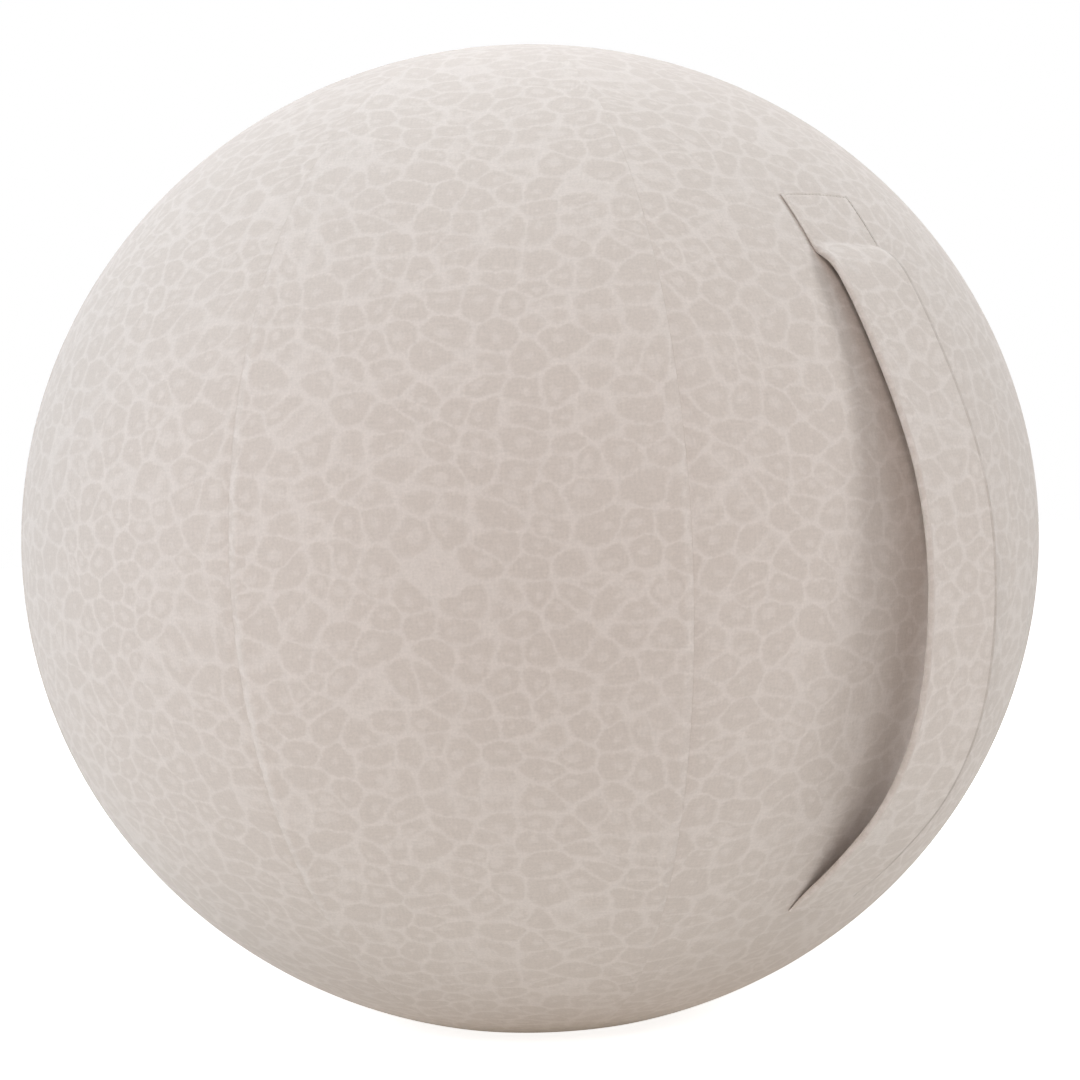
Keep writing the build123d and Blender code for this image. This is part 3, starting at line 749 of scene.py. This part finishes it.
for name, side in (("left", 1), ("right", -1)):
    ring = tape_ring[::-side]
    reach = (zip_radius + tape_fullness * ring[:, 1])[..., None]
    out = reach * np.cos(tape_turn)[:, None, None]
    up = reach * np.sin(tape_turn)[:, None, None]
    points = zip_centre + out * zip_out + up * np.array((0, 0, 1)) + side * ring[None, :, :1] * zip_aside
    flat = np.stack(np.broadcast_arrays(ring[:, 0], (tape_turn * zip_radius)[:, None]), -1)
    tape = grid_mesh(f"zip_tape_cloth_{name}", points, flat, tape_finish, wrap=True)
    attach(tape, "ball")
    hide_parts(f"zip_tape_{name}")

zip_plastic = moulded("zip_plastic", tint(170, 160, 151), tint(184, 174, 165), 0.4, 2500)
paint(zip_plastic, "zip_teeth_left", "zip_teeth_right", "zip_closed_stops", "zip_open_stop")
enamel, enamel_shader, enamel_shade = new_finish("zip_enamel", Coat_Weight=0.3, Coat_Roughness=0.15)
enamel_place = enamel_shade.node("TexCoord", {}, output="Object")
orange_peel = enamel_place.noise(1800, 1)
scuff = enamel_place.noise(700, 4, 0.7).step(0.58, 0.72)
feed(
    enamel_shader,
    Base_Color=scuff.between(tint(168, 158, 148), tint(196, 190, 184)),
    Roughness=0.3 + 0.25 * scuff,
    Normal=enamel_shade.node("Bump", {"Strength": 0.15, "Distance": 0.0002, "Height": orange_peel}),
)
paint(enamel, "zip_slider", "zip_pull")


# The stage: a pale floor that runs out of sight, soft light from above and from both sides, and the
# camera a little above the ball's waist, seen from its front right and turned slightly.
def shown_rays(shade):
    """1 for rays that show the backdrop: from the camera, in a reflection or through clear plastic."""
    kinds = ("Is Camera Ray", "Is Glossy Ray", "Is Transmission Ray")
    straight, mirrored, through = (shade.node("LightPath", {}, output=kind) for kind in kinds)
    return (straight + mirrored + through).step(0.0, 1.0)


floor_finish = bpy.data.materials.new("floor")
floor_finish.use_nodes = True
floor_tree = floor_finish.node_tree
floor_shade = Shade(floor_tree)
seen = shown_rays(floor_shade)
floor_diffuse = floor_shade.node("BsdfDiffuse", {"Color": (0.8, 0.8, 0.8, 1)})
floor_tone = seen.between((1.0, 0.905, 0.745, 1), (1, 1, 1, 1))
floor_place = floor_shade.node("TexCoord", {}, output="Object")
floor_reach = floor_shade.node("VectorMath", {0: floor_place}, output="Value", operation="LENGTH")
far = floor_reach.step(0.4, 1.2)
glow = 0.219 + seen * (0.58 + 0.3 * far)
floor_glow = floor_shade.node("Emission", {"Color": floor_tone, "Strength": glow})
floor_sum = floor_shade.node("AddShader", {0: floor_diffuse, 1: floor_glow})
floor_tree.links.new(floor_sum.socket, floor_tree.nodes["Material Output"].inputs["Surface"])
floor_mesh = bpy.data.meshes.new("floor")
floor_mesh.from_pydata([(-6, -6, 0), (6, -6, 0), (6, 6, 0), (-6, 6, 0)], [], [(0, 1, 2, 3)])
floor_mesh.materials.append(floor_finish)
floor = bpy.data.objects.new("floor", floor_mesh)
bpy.context.scene.collection.objects.link(floor)

world = bpy.data.worlds.new("studio")
world.use_nodes = True
world_tree = world.node_tree
world_shade = Shade(world_tree)
backdrop = 0.02 + 0.98 * shown_rays(world_shade)
world_light = world_shade.node("Background", {"Color": (1, 1, 1, 1), "Strength": backdrop})
world_tree.links.new(world_light.socket, world_tree.nodes["World Output"].inputs["Surface"])
bpy.context.scene.world = world

camera_bearing = radians(-42.0)
camera_lift = radians(2.38)
camera_roll = radians(-2.30)
camera_distance = 1.560
picture_side = 1080
picture_focus = 2388
picture_middle = (530.3, 538.5)
aim = Vector((0, 0, ball_middle))


def facing_ball(bearing, lift, distance, roll=0.0):
    """Placing of a lamp or camera that looks at the ball from a bearing, a lift and a distance, rolled."""
    toward = Vector((cos(bearing) * cos(lift), sin(bearing) * cos(lift), sin(lift)))
    turned = toward.to_track_quat("Z", "Y").to_matrix().to_4x4()
    return Matrix.Translation(aim + toward * distance) @ turned @ Matrix.Rotation(roll, 4, "Z")


def soft_lamp(name, turn, lift, distance, size, power, colour):
    """Square lamp that faces the ball, turned in degrees to the right of the camera and lifted over it."""
    lamp = bpy.data.lights.new(name, "AREA")
    lamp.shape = "SQUARE"
    lamp.size = size
    lamp.energy = power
    lamp.color = colour
    holder = bpy.data.objects.new(name, lamp)
    holder.matrix_world = facing_ball(camera_bearing + radians(turn), radians(lift), distance)
    bpy.context.scene.collection.objects.link(holder)


soft_lamp("top_lamp", 0, 80, 2.2, 2.0, 29.7, (0.83, 0.95, 1.0))
soft_lamp("left_lamp", -80, 25, 2.4, 1.2, 31.1, (0.86, 0.93, 1.0))
soft_lamp("right_lamp", 78, 24, 2.4, 0.8, 21.6, (0.955, 0.975, 1.0))
soft_lamp("front_lamp", -5, 25, 2.4, 0.4, 17.4, (1.0, 0.86, 0.81))
soft_lamp("back_lamp", 180, 55, 2.4, 1.6, 30.8, (1.0, 0.93, 0.94))

camera = bpy.data.cameras.new("camera")
camera.sensor_width = 36
camera.lens = picture_focus / picture_side * camera.sensor_width
camera.shift_x = 0.5 - picture_middle[0] / picture_side
camera.shift_y = picture_middle[1] / picture_side - 0.5
camera_holder = bpy.data.objects.new("camera", camera)
camera_holder.matrix_world = facing_ball(camera_bearing, camera_lift, camera_distance, camera_roll)
bpy.context.scene.collection.objects.link(camera_holder)
bpy.context.scene.camera = camera_holder
bpy.context.scene.view_settings.view_transform = "Standard"
